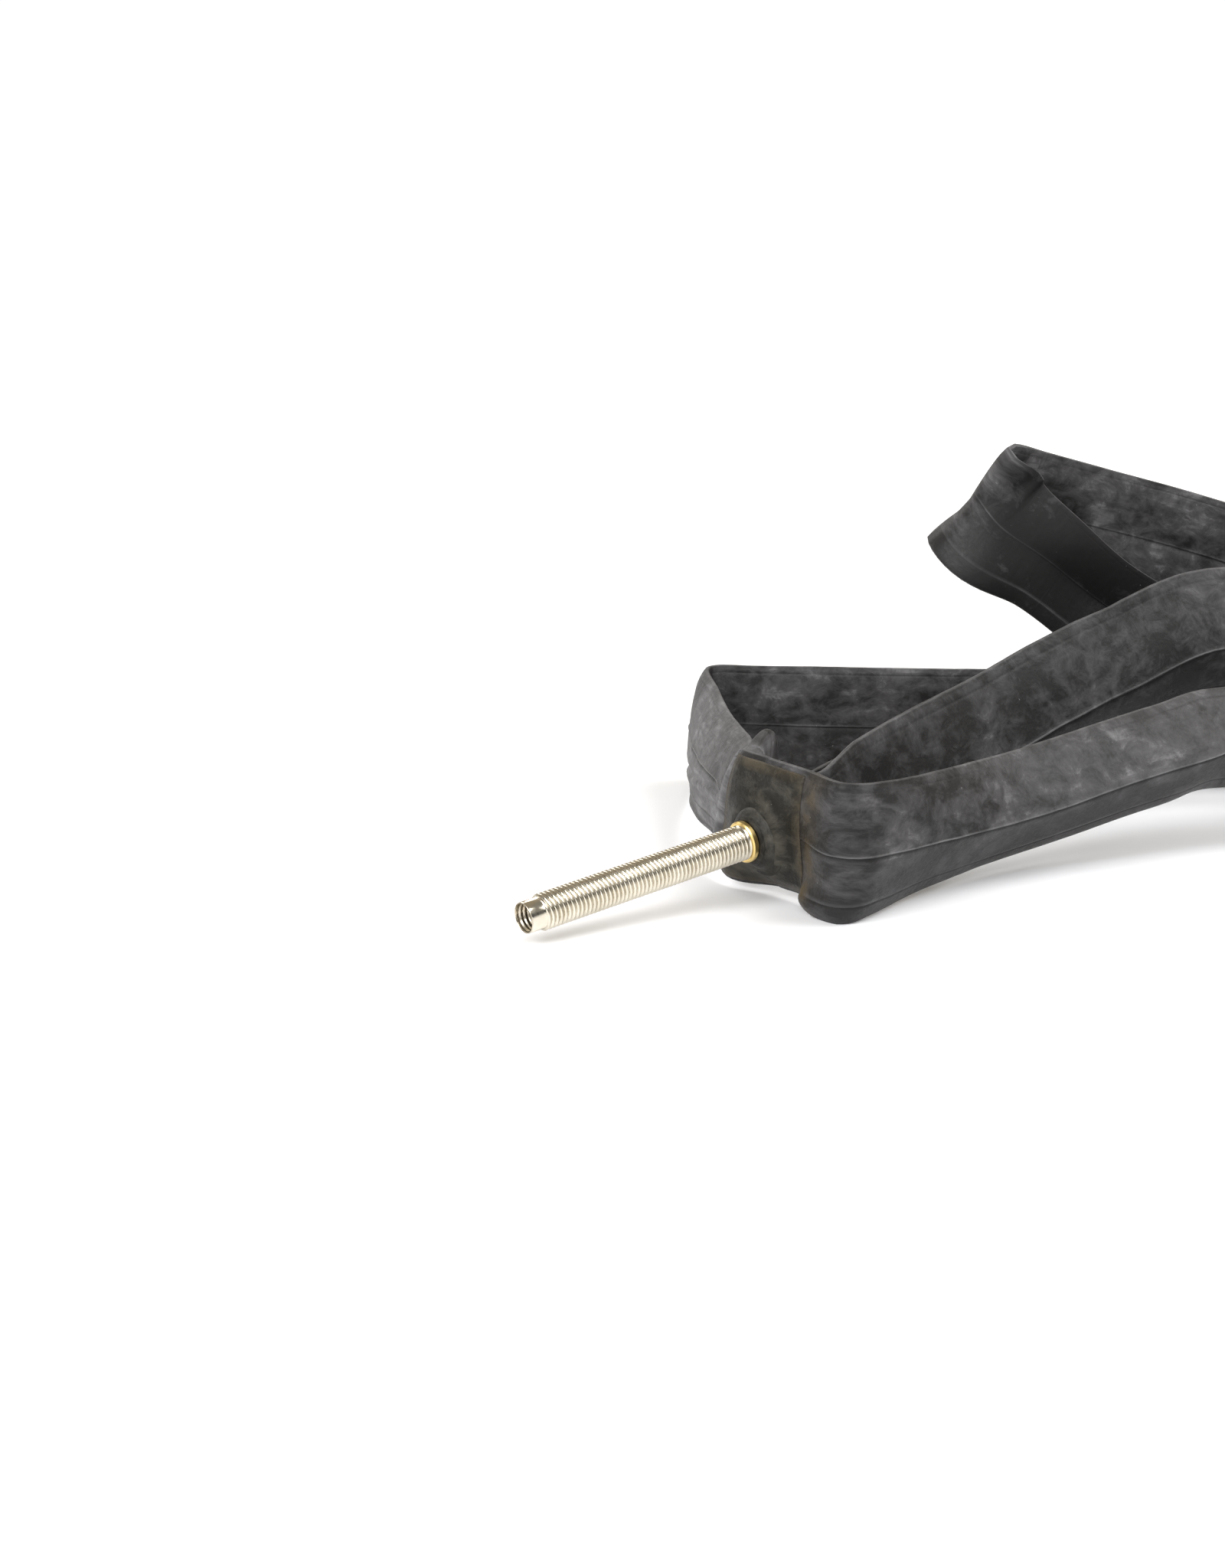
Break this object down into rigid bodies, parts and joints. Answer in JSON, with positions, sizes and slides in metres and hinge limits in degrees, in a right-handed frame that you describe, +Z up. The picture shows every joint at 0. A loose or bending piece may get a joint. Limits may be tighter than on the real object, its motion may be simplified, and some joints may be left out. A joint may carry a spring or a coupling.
{
  "type": "bicycle inner tube",
  "caption": "Deflated road bicycle inner tube standing on edge in loose folds, with a long fully threaded slim valve stem and its core taken out",
  "frame": {"origin": "middle of the whole part's outline, on the plane the tube stands on", "axes": "+X along the folded runs away from the valve, +Y towards the raised rear fold, +Z up"},
  "size_m": [0.3608, 0.143, 0.067],
  "materials": {
    "tube_rubber": "soft sheen, lightly powdered",
    "patch_rubber": "soft sheen, olive tint",
    "nickel": "nickel plated",
    "brass": "plain turned brass",
    "seal_rubber": "matte"
  },
  "bodies": {
    "tube_with_valve": {"tube": "tube_rubber", "valve_patch": "patch_rubber", "valve_boss": "patch_rubber", "base_ring": "brass", "valve_stem": "nickel"},
    "core": {"core_body": "nickel", "core_sleeve": "seal_rubber"},
    "plunger": {"core_plunger": "brass", "plunger_seal": "seal_rubber"},
    "nut": {"lock_nut": "brass"}
  },
  "joints": [
    {"name": "core_lift", "type": "slide", "parent": "tube_with_valve", "child": "core", "axis": [0, 0, 1], "range_m": [0, 0.06]},
    {"name": "plunger_slide", "type": "slide", "parent": "core", "child": "plunger", "axis": [1, 0, 0], "range_m": [-0.0016, 0.0014]},
    {"name": "nut_turn", "type": "hinge", "parent": "plunger", "child": "nut", "pos_m": [-0.108, 0.034, 0.0025], "axis": [1, 0, 0], "range_deg": [0, 1080]}
  ]
}
